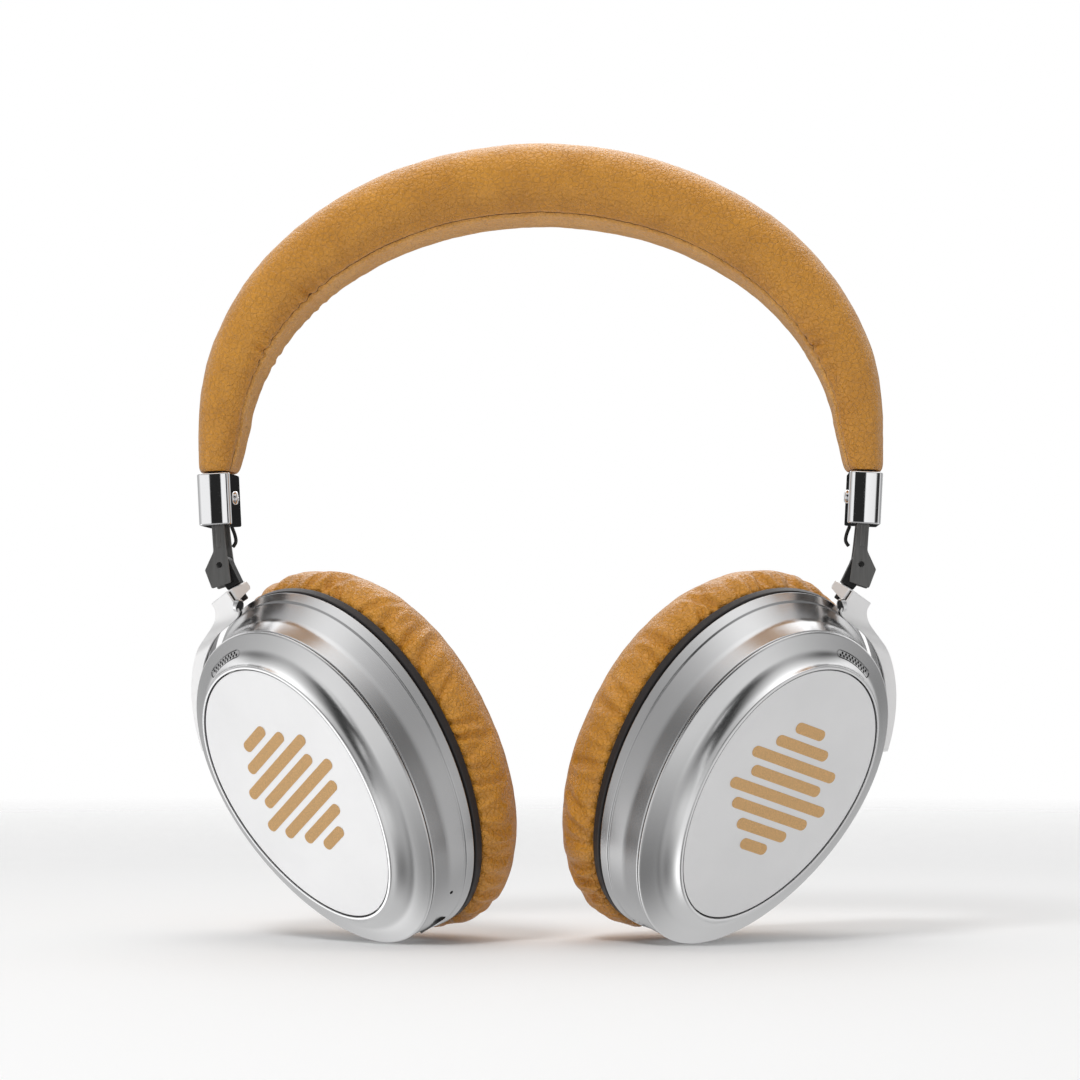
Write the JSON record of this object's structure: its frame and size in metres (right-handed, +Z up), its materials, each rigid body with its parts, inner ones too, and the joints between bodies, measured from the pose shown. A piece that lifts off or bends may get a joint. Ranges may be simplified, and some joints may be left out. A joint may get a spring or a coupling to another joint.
{
  "type": "over-ear headphones",
  "caption": "Folding over-ear headphones: padded headband, extending sliders, folding swivel yokes, tilting oval metal cups with thick ear cushions.",
  "frame": {"origin": "middle of the flat inner crown face of the headband, where it rests on a head or a hook", "axes": "+Z up the headband, +X to the right-hand cup seen from the front, -Y towards the viewer of the front; X = 0 is the mirror plane"},
  "size_m": [0.1788, 0.0687, 0.1989],
  "materials": {
    "leather": "grained tan leather, satin",
    "foam": "open-cell foam",
    "cloth": "fine black acoustic cloth",
    "spring_steel": "rolled spring steel",
    "chrome": "mirror polished",
    "dark_steel": "dark grey steel",
    "black_plastic": "fine textured black",
    "pin_black": "blackened steel",
    "cable_black": "smooth cable jacket",
    "aluminium": "satin silver",
    "plate_white": "smooth satin silver-white",
    "vent_mesh": "perforated insert",
    "driver_metal": "driver basket",
    "board_green": "circuit board",
    "battery_foil": "pouch foil"
  },
  "bodies": {
    "headband": {"headband_cover": "leather", "headband_padding": "foam", "headband_spring": "spring_steel", "left_end_sleeve": "chrome", "left_sleeve_screw": "chrome", "left_slider_guide": "black_plastic", "right_end_sleeve": "chrome", "right_sleeve_screw": "chrome", "right_slider_guide": "black_plastic"},
    "left_slider": {"left_slider_bar": "dark_steel", "left_hinge_pin": "pin_black", "left_speaker_cable": "cable_black"},
    "left_knuckle": {"left_hinge_knuckle": "black_plastic"},
    "left_yoke": {"left_yoke": "aluminium", "left_yoke_cover": "aluminium", "left_tilt_pin": "dark_steel"},
    "left_cup": {"left_cover_plate": "plate_white", "left_cup_shell": "aluminium", "left_vent_grille": "vent_mesh", "left_cup_base": "aluminium", "left_cushion_ring": "black_plastic", "left_ear_cushion": "leather", "left_speaker_cloth": "cloth", "left_baffle": "black_plastic", "left_baffle_screw_upper": "dark_steel", "left_baffle_screw_lower": "dark_steel", "left_driver": "driver_metal", "left_circuit_board": "board_green", "left_usb_port": "spring_steel"},
    "left_power_button_body": {"left_power_button": "dark_steel"},
    "right_slider": {"right_slider_bar": "dark_steel", "right_hinge_pin": "pin_black", "right_speaker_cable": "cable_black"},
    "right_knuckle": {"right_hinge_knuckle": "black_plastic"},
    "right_yoke": {"right_yoke": "aluminium", "right_yoke_cover": "aluminium", "right_tilt_pin": "dark_steel"},
    "right_cup": {"right_cover_plate": "plate_white", "right_cup_shell": "aluminium", "right_vent_grille": "vent_mesh", "right_cup_base": "aluminium", "right_cushion_ring": "black_plastic", "right_ear_cushion": "leather", "right_speaker_cloth": "cloth", "right_baffle": "black_plastic", "right_baffle_screw_upper": "dark_steel", "right_baffle_screw_lower": "dark_steel", "right_driver": "driver_metal", "right_circuit_board": "board_green", "right_audio_jack": "black_plastic", "right_battery": "battery_foil"},
    "right_volume_up_button_body": {"right_volume_up_button": "dark_steel"},
    "right_play_button_body": {"right_play_button": "dark_steel"},
    "right_volume_down_button_body": {"right_volume_down_button": "dark_steel"}
  },
  "joints": [
    {"name": "left_slider_travel", "type": "slide", "parent": "headband", "child": "left_slider", "axis": [0.0523, 0, -0.9986], "range_m": [0, 0.02]},
    {"name": "left_fold", "type": "hinge", "parent": "left_slider", "child": "left_knuckle", "pos_m": [-0.0798, 0, -0.08505], "axis": [0, -1, 0], "range_deg": [-33, 5]},
    {"name": "left_swivel", "type": "hinge", "parent": "left_knuckle", "child": "left_yoke", "pos_m": [-0.0798, 0, -0.08505], "axis": [-0.5446, 0, 0.8387], "range_deg": [-48, 42]},
    {"name": "left_cup_tilt", "type": "hinge", "parent": "left_yoke", "child": "left_cup", "pos_m": [-0.08267, 0.0168, -0.12698], "axis": [-0.6233, 0.6691, -0.4047], "range_deg": [-3, 8]},
    {"name": "left_power_button_press", "type": "slide", "parent": "left_cup", "child": "left_power_button_body", "axis": [0.3434, -0.6097, 0.7144], "range_m": [0, 0.0005], "stiffness_N_per_m": 400},
    {"name": "right_slider_travel", "type": "slide", "parent": "headband", "child": "right_slider", "axis": [-0.0523, 0, -0.9986], "range_m": [0, 0.02]},
    {"name": "right_fold", "type": "hinge", "parent": "right_slider", "child": "right_knuckle", "pos_m": [0.0798, 0, -0.08505], "axis": [0, 1, 0], "range_deg": [-33, 5]},
    {"name": "right_swivel", "type": "hinge", "parent": "right_knuckle", "child": "right_yoke", "pos_m": [0.0798, 0, -0.08505], "axis": [-0.5446, 0, -0.8387], "range_deg": [-48, 42]},
    {"name": "right_cup_tilt", "type": "hinge", "parent": "right_yoke", "child": "right_cup", "pos_m": [0.08267, 0.0168, -0.12698], "axis": [-0.6233, -0.6691, 0.4047], "range_deg": [-3, 8]},
    {"name": "right_volume_up_button_press", "type": "slide", "parent": "right_cup", "child": "right_volume_up_button_body", "axis": [-0.4427, -0.6415, 0.6265], "range_m": [0, 0.0005], "stiffness_N_per_m": 400},
    {"name": "right_play_button_press", "type": "slide", "parent": "right_cup", "child": "right_play_button_body", "axis": [-0.3622, -0.6164, 0.6992], "range_m": [0, 0.0005], "stiffness_N_per_m": 400},
    {"name": "right_volume_down_button_press", "type": "slide", "parent": "right_cup", "child": "right_volume_down_button_body", "axis": [-0.2745, -0.5825, 0.7651], "range_m": [0, 0.0005], "stiffness_N_per_m": 400}
  ]
}
